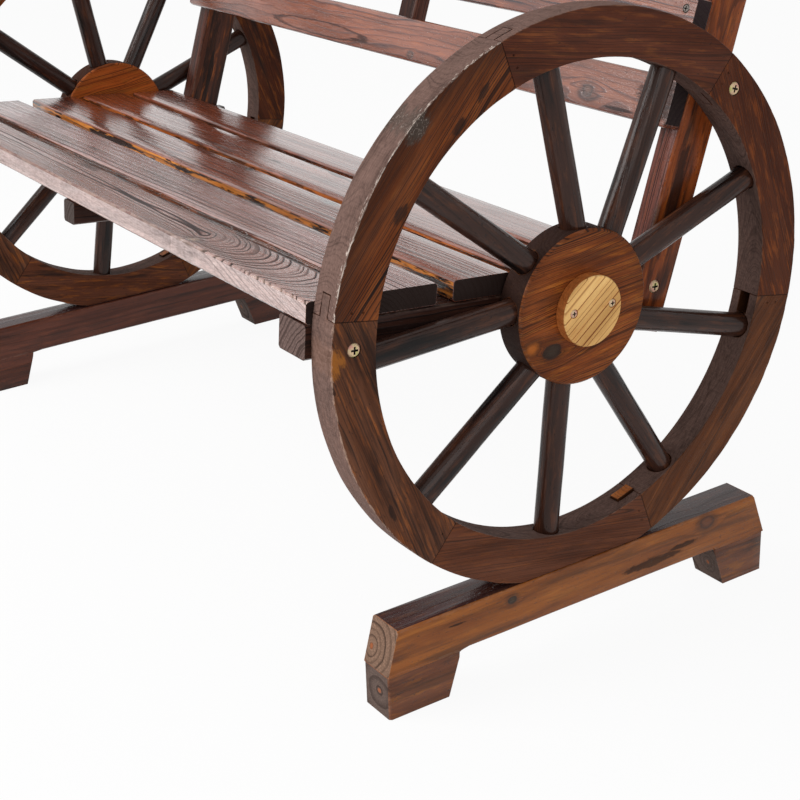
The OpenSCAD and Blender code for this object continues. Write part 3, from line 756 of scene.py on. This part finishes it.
def felloe_push(seed):
    """Sawn rim: flats and nicks, only ever inward, and none where it meets the beam."""
    def push(co, normal):
        rel = Vector((0, co.y - AXLE.y, co.z - AXLE.z))
        radius = rel.length
        out = rel / radius
        if co.z < BEAM_TOP + 0.012:
            return Vector()
        if radius > WHEEL_R - 0.003:
            dip = 0.0005 + 0.0006 * waves(co, 0.045, seed)
            chip = waves(co, 0.014, seed + 3) - 0.15
            if abs(normal.x) > 0.2 and chip > 0:
                dip += 0.0019 * chip
            return out * -max(dip, 0.0)
        if radius < RIM_IN + 0.002 and abs(normal.x) < 0.9:
            return out * max(0.0003 + 0.0005 * waves(co, 0.035, seed), 0.0)
        return Vector()
    return push


# Grain of each rim piece: some are plain and fine, others streaky
FELLOE_MARKS = {
    1: woods((90, 47, 31), (42, 25, 19), Gap=2.2, Band=0.5, Lines=0.7, Burn=0.6, Bands=0.25, Fibre=0.45,
             Flecks=0.4, Bright=linear(138, 78, 38)),
    2: woods((120, 63, 31), (38, 23, 18), Gap=2.4, Band=0.5, Lines=1.1, Burn=0.5, Bands=0.2, Fibre=0.6,
             Wear=0.8, Scuff=0.8, Worn=linear(218, 202, 190), Rim_Shade=0.62,
             Streak_1=(-100, -240, 11), Streak_2=(-62, -242, 12), Streak_3=(32, -248, 13),
             Streak_Shape=0.42, Patch=(-38, -281, 17), Patch_Colour=linear(70, 62, 56)),
    3: woods((104, 64, 44), (47, 33, 27), Gap=4.2, Lines=0.7, Burn=0.8, Wear=0.6, Scuff=0.5, Flecks=0.65,
             Bright=linear(156, 90, 46), Wander=6.5, Streak_1=(66, -268, 12), Streak_2=(-88, -277, 8),
             Streak_Shape=0.3, Patch=(-112, -267, 17), Patch_Colour=linear(166, 102, 42)),
    4: woods((100, 57, 38), (50, 32, 24), Gap=1.8, Band=0.45, Lines=0.65, Burn=0.35, Bands=0.15,
             Fibre=0.35, Flecks=0.2),
    5: woods((102, 60, 36), (50, 31, 23), Gap=2.6, Band=0.5, Lines=0.55, Burn=0.6, Bands=0.25,
             Fibre=0.45, Flecks=0.25),
    6: woods((84, 41, 22), (40, 23, 16), Gap=2.0, Band=0.5, Lines=0.75, Burn=0.3, Bands=0.2, Fibre=0.4,
             Flecks=0.6, Bright=linear(146, 76, 32)),
}
FELLOE_CUTS = 40


def turned(angle):
    """The way that a wheel's rim runs at an angle from the back, seen from the right."""
    return Vector((0, -math.sin(angle), math.cos(angle)))


def make_felloe(side, i):
    name = f"{side}_felloe_{i}"
    sign = SIGN[side]
    seed = i + (10 if side == "left" else 0)
    middle = JOINT_ANGLE + (i - 0.5) * FELLOE_STEP
    out = Vector((0, math.cos(middle), math.sin(middle)))
    u = turned(middle)
    v = X.cross(u)
    steps = []
    for k in range(1, FELLOE_CUTS):
        angle = JOINT_ANGLE + (i - 1) * FELLOE_STEP + FELLOE_STEP * k / FELLOE_CUTS
        steps.append((AXLE, turned(angle), -0.001, 0.001, 0.001))
    steps.append((AXLE, X, sign * (WHEEL_X_IN - 0.001), sign * (WHEEL_X_OUT + 0.001), sign * 0.009))
    piece = worked(name, "rim", (u, v, X), RIM_BEVEL, steps, felloe_push(seed), joints=True)
    outward = 1 if v.dot(out) > 0 else -1
    origin = Vector((sign * WHEEL_X_OUT, AXLE.y, AXLE.z))
    pith = (0, outward * (RIM_IN / MM - 18 - 7 * (i % 4)), -sign * (8 + 6 * (i % 3)))
    wood = look(RIM, Seed=seed * 1.37, Pith=pith, Slope=0.02 * (1 if i % 2 else -1), **FELLOE_MARKS[i])
    if side == "left":
        wood = look(wood, Bright=linear(150, 84, 34), Flecks=0.7, Burn=0.9)
    dress(piece, wood_material(name, grain_place(origin, u, v, X), wood))


def make_spoke(side, k):
    name = f"{side}_spoke_{k}"
    seed = k + (20 if side == "left" else 0)
    low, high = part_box(name)
    middle = (low + high) / 2
    corners = [v.co for v in nodes[name].data.vertices]
    reach = max(corners, key=lambda c: (c - middle).length) - middle
    reach.x = 0
    u = reach.normalized()
    v = X.cross(u)
    length = (high - low).length / 2

    def push(spot, normal):
        if abs(normal.dot(u)) > 0.3:
            return Vector()
        return normal * (0.00035 * waves(spot, 0.05, seed) - 0.0002)
    piece = worked(name, "round", (u, v, X), 0, [(middle, u, -length, length, 0.012)], push)
    wood = look(SPOKE, Seed=seed * 2.11, Pith=(0, -14 + 3 * (k % 4), 22))
    dress(piece, wood_material(name, grain_place(middle, u, v, X), wood))


HUB_TILT = math.radians(2)
CAP_TILT = math.radians(37.8)


def make_disc(name, face_x, tilt, wood):
    """A hub or a cap, whose grain runs across its face at a tilt."""
    u = Vector((0, math.cos(tilt), math.sin(tilt)))
    v = Vector((0, -math.sin(tilt), math.cos(tilt)))
    origin = Vector((face_x, AXLE.y, AXLE.z))
    piece = worked(name, "disc", (Y, Z, X), 0)
    dress(piece, wood_material(name, grain_place(origin, u, v, X), wood))


def make_hub(side):
    wood = look(HUB, Seed=3.3, Pith=(0, -150, -90))
    if side == "left":
        wood = look(wood, **woods((188, 96, 40), (100, 52, 26)), Seed=8.1, Rim_Shade=0.2,
                    Knot_1=NOWHERE, Knot_2=NOWHERE)
    make_disc(f"{side}_hub", SIGN[side] * HUB_X_OUT, HUB_TILT, wood)


def make_cap(side):
    wood = look(CAP, Seed=5.2 if side == "right" else 6.9, Pith=(0, -210, -60))
    make_disc(f"{side}_hub_cap", SIGN[side] * CAP_X_OUT, CAP_TILT, wood)


for side in SIGN:
    for i in range(1, 7):
        make_felloe(side, i)
    for k in range(1, 10):
        make_spoke(side, k)
    make_hub(side)
    make_cap(side)


# Boards and bars
BAR_WAVE = 0.0004
BAR_STEPS = (0.014, 0.016)


def bar_push(name, axes, seed):
    """Small waves on the faces; beams and feet keep sharp edges where they meet."""
    side = name.split("_")[0]
    feet = [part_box(f"{side}_{end}_foot") for end in ("front", "back")] if axes[0] == Y else []

    def over_foot(co):
        level = abs(co.z - FOOT_TOP) < 0.0003
        return level and any(low.y - 0.001 < co.y < high.y + 0.001 for low, high in feet)

    def push(co, normal):
        if over_foot(co):
            face = min((BEAM_X_IN, BEAM_X_OUT), key=lambda x: abs(abs(co.x) - x))
            if 0.001 < abs(abs(co.x) - face) < 0.004:
                return Vector((math.copysign(face, co.x) - co.x, 0, 0))
        if abs(normal.dot(axes[0])) > 0.5:
            return Vector()
        return normal * BAR_WAVE * (waves(co, 0.06, seed) - 1) / 2
    return push


def make_bar(name, origin, axes, wood, seed, rough=None):
    low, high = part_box(name)
    corners = [Vector((x, y, z)) for x in (low.x, high.x) for y in (low.y, high.y) for z in (low.z, high.z)]
    steps = []
    for axis, size in zip(axes, BAR_STEPS):
        spots = [(c - origin).dot(axis) for c in corners]
        steps.append((origin, axis, min(spots), max(spots), size))
    piece = worked(name, "board", axes, BAR_BEVEL, steps, bar_push(name, axes, seed), rough)
    dress(piece, wood_material(name, grain_place(origin, *axes), look(wood, Seed=seed * 1.71)))


SEAT_AXES = (X, SEAT_BACK, SEAT_UP)
BACK_AXES = (X, BACK_UP, BACK_FRONT)
POST_AXES = (BACK_UP, BACK_FRONT, X)
RAIL_AXES = (SEAT_BACK, SEAT_UP, X)
BEAM_AXES = (Y, Z, X)
CREAM = linear(206, 170, 146)
KNOT_BROWN = linear(112, 76, 64)

SEAT_MARKS = {
    1: look(SEAT, Early=linear(146, 90, 74), Late=linear(40, 23, 21), Bright=linear(162, 98, 72),
            Pith=(0, 34, -8), Dip=0.3, Dip_Start=262, Gap=3.2, Band=0.5, Lines=1.35, Wander=1.6,
            Knot_1=(273, 12.5, 8), Knot_1_Colour=CREAM, Streak_1=(-75, 53, 30), Wear=0.4, Groove=1.1,
            Fibre=0.35, Bands=0.2, Coat_IOR=2.5, relief=0.0022),
    2: look(SEAT, Early=linear(158, 110, 101), Late=linear(44, 27, 27), Bright=linear(166, 104, 80),
            Pith=(0, 52, -46), Slope=0.03, Gap=3.0, Band=0.5, Lines=1.2, Wander=2.0,
            Streak_1=(-167, 103, 14), Knot_1=(43, 132.5, 3), Knot_1_Colour=CREAM, Groove=1.0,
            Fibre=0.35, Bands=0.2, Coat_IOR=2.6, relief=0.0014, Side_Early=linear(128, 72, 46)),
    3: look(SEAT, Pith=(0, 150, -30), Slope=0.01, Knot_1=(13, 224, 5), Knot_2=(199, 220.5, 6),
            Side_Early=linear(214, 134, 62), Side_Burn=1.0, Patch=(-113, 197, 10),
            Patch_Colour=linear(150, 142, 148)),
    4: look(SEAT, Pith=(0, 300, -40), Slope=-0.015, Streak_1=(-13, 276, 14)),
    5: look(SEAT, Pith=(0, 360, -18), Slope=0.01, Side_Early=linear(116, 66, 46)),
}
BACK_MARKS = {
    1: look(BACK, Pith=(0, 110, -30), Slope=0.02, Knot_1=(385, 142, 8), Knot_1_Colour=KNOT_BROWN,
            Knot_2=(62, 132, 3.5), Knot_2_Colour=KNOT_BROWN, Streak_1=(-150, 136, 118),
            Streak_2=(-52, 133, 26), Streak_3=(437, 130, 26), Streak_Shape=0.08, Hollow=0.95,
            Lines=0.85, Bands=0.2, Fibre=0.4, Flecks=0.3, Burn=0.35, Soot=linear(32, 21, 24),
            # This patch at the board's right end is painted shade: dark and unlacquered where the end lies
            # in shadow behind the wheel.
            Patch=(498, 150, 40), Patch_Colour=linear(40, 28, 26)),
    2: look(BACK, Pith=(0, 180, 60), Slope=-0.02),
    3: look(BACK, Pith=(0, 270, -40), Slope=0.01),
    4: look(BACK, Pith=(0, 350, 50), Slope=-0.01),
}

# The left beam and feet are darker than the right ones, and the beam has no knots or streaks
LEFT_BASE = woods((98, 50, 34), (48, 28, 22), Bright=linear(122, 64, 38))
NO_SPOTS = dict.fromkeys(("Knot 1", "Knot 2", "Streak 1", "Streak 2", "Streak 3"), NOWHERE)


def slat_front_face(co, normal):
    return normal.dot(SEAT_BACK) < -FACING and (co - SEAT_FRONT).dot(SEAT_BACK) < 0.004


def make_post(side, seed):
    sign = SIGN[side]
    wood = look(POST, Pith=(0, -20, -sign * 100), Streak_1=(151, -8, 14), Streak_2=(60, -13, 66),
                Streak_Shape=0.13)
    if side == "left":
        wood = look(wood, **woods((84, 46, 32), (40, 25, 20)), Side_Early=linear(104, 62, 50))
    origin = Vector((sign * WHEEL_X_IN, BACK_FOOT.y, BACK_FOOT.z))
    make_bar(f"{side}_back_post", origin, POST_AXES, wood, seed)


def make_rail(side, seed):
    sign = SIGN[side]
    origin = Vector((sign * WHEEL_X_IN, SEAT_FRONT.y, SEAT_FRONT.z))
    make_bar(f"{side}_seat_rail", origin, RAIL_AXES, look(RAIL, Pith=(0, -90, sign * 40)), seed)


def make_base(side, beam_seed, foot_seed):
    sign = SIGN[side]
    beam = look(BASE, Pith=(0, 65.5, -sign * 38), Knot_1=(176, 86, 7), Knot_2=(-91, 83, 4.5),
                Knot_1_Colour=linear(112, 64, 38), Knot_2_Colour=linear(62, 48, 34),
                Streak_1=(98, 64, 46), Streak_2=(142, 70, 24), Streak_3=(-160, 80, 12),
                Streak_Shape=0.13)
    foot = look(BASE, Early=linear(116, 66, 40), Pith=(0, 23.7, -sign * 17.4), Gap=10.0, Burn=0.8,
                End_Colour=linear(116, 98, 90))
    if side == "left":
        beam = {**beam, **LEFT_BASE, **NO_SPOTS}
        foot = {**foot, **LEFT_BASE}
    origin = Vector((sign * BEAM_X_OUT, AXLE.y, 0.0))
    make_bar(f"{side}_base_beam", origin, BEAM_AXES, beam, beam_seed)
    for m, end in enumerate(("front", "back")):
        make_bar(f"{side}_{end}_foot", origin, BEAM_AXES, foot, foot_seed + m)


for i, wood in SEAT_MARKS.items():
    rough = slat_front_face if i == 1 else None
    make_bar(f"seat_slat_{i}", SEAT_FRONT, SEAT_AXES, wood, 30 + i, rough)
for i, wood in BACK_MARKS.items():
    make_bar(f"back_slat_{i}", BACK_FOOT, BACK_AXES, wood, 40 + i)
for n, side in enumerate(SIGN):
    make_post(side, 50 + n)
    make_rail(side, 54 + n)
    make_base(side, 58 + n, 62 + 2 * n)
BEARER = look(RAIL, Pith=(0, -60, 30), End_Colour=linear(84, 74, 70))
BATTEN = look(RAIL, Pith=(0, 60, 30), Early=linear(110, 66, 52))
make_bar("middle_bearer", SEAT_FRONT, RAIL_AXES, BEARER, 70)
make_bar("back_batten", BACK_FOOT, POST_AXES, BATTEN, 71)


# Screws

def separate_screws(bm):
    """The faces of each screw, found by the edges that they share."""
    left = set(bm.faces)
    while left:
        first = left.pop()
        screw, queue = [first], [first]
        while queue:
            for edge in queue.pop().edges:
                for other in edge.link_faces:
                    if other in left:
                        left.discard(other)
                        screw.append(other)
                        queue.append(other)
        yield screw


def shade_recess(screw, layer):
    """Marks the faces in the cross recess of one screw's head for painted shade, by shares of the head's
    radius.
    """
    spots = [v.co for v in {v for f in screw for v in f.verts}]

    def ends(way):
        reach = [s.dot(way) for s in spots]
        return min(reach), max(reach)

    def length(way):
        low, high = ends(way)
        return high - low
    axis = max((X, SEAT_UP, BACK_FRONT), key=length)
    middle = Vector()
    for way in (Y, Z) if axis == X else (axis.cross(X), X):
        middle += way * sum(ends(way)) / 2

    def from_axis(spot):
        return (spot - axis * spot.dot(axis) - middle).length
    radius = max(from_axis(s) for s in spots)
    widest = [s.dot(axis) for s in spots if from_axis(s) > 0.98 * radius]
    low, high = ends(axis)
    outward = 1 if sum(widest) / len(widest) > (low + high) / 2 else -1
    top = max(outward * low, outward * high)
    for face in screw:
        spot = face.calc_center_median()
        depth = top - outward * spot.dot(axis)
        central = from_axis(spot) < 0.58 * radius and depth < 0.6 * radius
        wall = abs(face.normal.dot(axis)) < 0.5
        face[layer] = float(central and (wall or depth > 0.12 * radius))


def screw_mesh(name, material):
    """A copy of the screws, with painted shade in the cross recess of each head."""
    bm = copied(name)
    bm.normal_update()
    layer = bm.faces.layers.float.new("shade")
    for screw in separate_screws(bm):
        shade_recess(screw, layer)
    dress(placed(bm, name, "_metal", METAL_SMOOTH), material)


ZINC = metal_material(
    "yellow_zinc", linear(214, 186, 148), linear(172, 178, 92), linear(206, 146, 134), 0.4)
STEEL = metal_material(
    "dull_steel", linear(112, 104, 98), linear(60, 50, 44), linear(84, 76, 70), 0.42)
screw_mesh("frame_screws", ZINC)
screw_mesh("cap_screws", ZINC)
screw_mesh("board_screws", STEEL)
for name in ("base_screws", "rim_brads"):
    nodes[name].data.materials[0] = STEEL


# Studio
FLOOR_HALF = 20.0
FLOOR_GLOW = 0.93
WORLD_LIGHT = 0.45
WORLD_SEEN = 0.98


def seen_white(g):
    """1 for camera, glossy and transmission rays."""
    path = g.node("ShaderNodeLightPath").outputs
    return g.most(path["Is Camera Ray"], path["Is Glossy Ray"], path["Is Transmission Ray"])


def make_floor():
    half = FLOOR_HALF
    corners = [(-half, -half, 0), (half, -half, 0), (half, half, 0), (-half, half, 0)]
    mesh = bpy.data.meshes.new("floor")
    mesh.from_pydata(corners, [], [(0, 1, 2, 3)])
    floor = bpy.data.objects.new("floor", mesh)
    scene.collection.objects.link(floor)
    material, g = new_material("floor_white")
    lit = g.node("ShaderNodeBsdfDiffuse", {"Color": linear(242, 242, 242)}).outputs[0]
    glow = g.node("ShaderNodeEmission", {"Color": WHITE, "Strength": 1.0}).outputs[0]
    share = g.times(seen_white(g), FLOOR_GLOW)
    mixed = g.node("ShaderNodeMixShader", {0: share, 1: lit, 2: glow}).outputs[0]
    g.node("ShaderNodeOutputMaterial", {"Surface": mixed})
    mesh.materials.append(material)


def make_world():
    world = bpy.data.worlds.new("studio")
    scene.world = world
    world.use_nodes = True
    world.node_tree.nodes.clear()
    g = Graph(world.node_tree)
    soft = g.node("ShaderNodeBackground", {"Color": WHITE, "Strength": WORLD_LIGHT}).outputs[0]
    white = g.node("ShaderNodeBackground", {"Color": WHITE, "Strength": WORLD_SEEN}).outputs[0]
    mixed = g.node("ShaderNodeMixShader", {0: seen_white(g), 1: soft, 2: white}).outputs[0]
    g.node("ShaderNodeOutputWorld", {"Surface": mixed})


def lamp(name, spot, aim, size, power):
    data = bpy.data.lights.new(name, "AREA")
    data.shape = "SQUARE"
    data.size = size
    data.energy = power
    made = bpy.data.objects.new(name, data)
    made.location = spot
    made.rotation_euler = (Vector(aim) - Vector(spot)).to_track_quat("-Z", "Y").to_euler()
    scene.collection.objects.link(made)


make_floor()
make_world()
lamp("key", (-0.9, -2.8, 2.3), (0.1, 0, 0.4), 2.2, 95)
lamp("fill", (2.8, -1.2, 2.0), (0.3, 0, 0.4), 2.0, 18)
scene.view_settings.view_transform = "Standard"

# Camera, solved from the photograph: its spot in metres, its angles and its lens in millimetres
CAMERA_SPOT = Vector((1.703229, -0.988425, 0.941478))
YAW = math.radians(58.744)
PITCH = math.radians(-21.916)
ROLL = math.radians(-2.9)
SENSOR = 36
LENS = 74.374
SHIFT_X = 0.08529
SHIFT_Y = -0.05088


def make_camera():
    ahead = Vector((-math.sin(YAW) * math.cos(PITCH), math.cos(YAW) * math.cos(PITCH), math.sin(PITCH)))
    level = Vector((math.cos(YAW), math.sin(YAW), 0))
    above = level.cross(ahead)
    right = math.cos(ROLL) * level + math.sin(ROLL) * above
    up = -math.sin(ROLL) * level + math.cos(ROLL) * above
    data = bpy.data.cameras.new("camera")
    data.sensor_width = SENSOR
    data.lens = LENS
    data.shift_x = SHIFT_X
    data.shift_y = SHIFT_Y
    camera = bpy.data.objects.new("camera", data)
    turn = Matrix((right, up, -ahead)).transposed().to_4x4()
    camera.matrix_world = Matrix.Translation(CAMERA_SPOT) @ turn
    scene.collection.objects.link(camera)
    scene.camera = camera


make_camera()
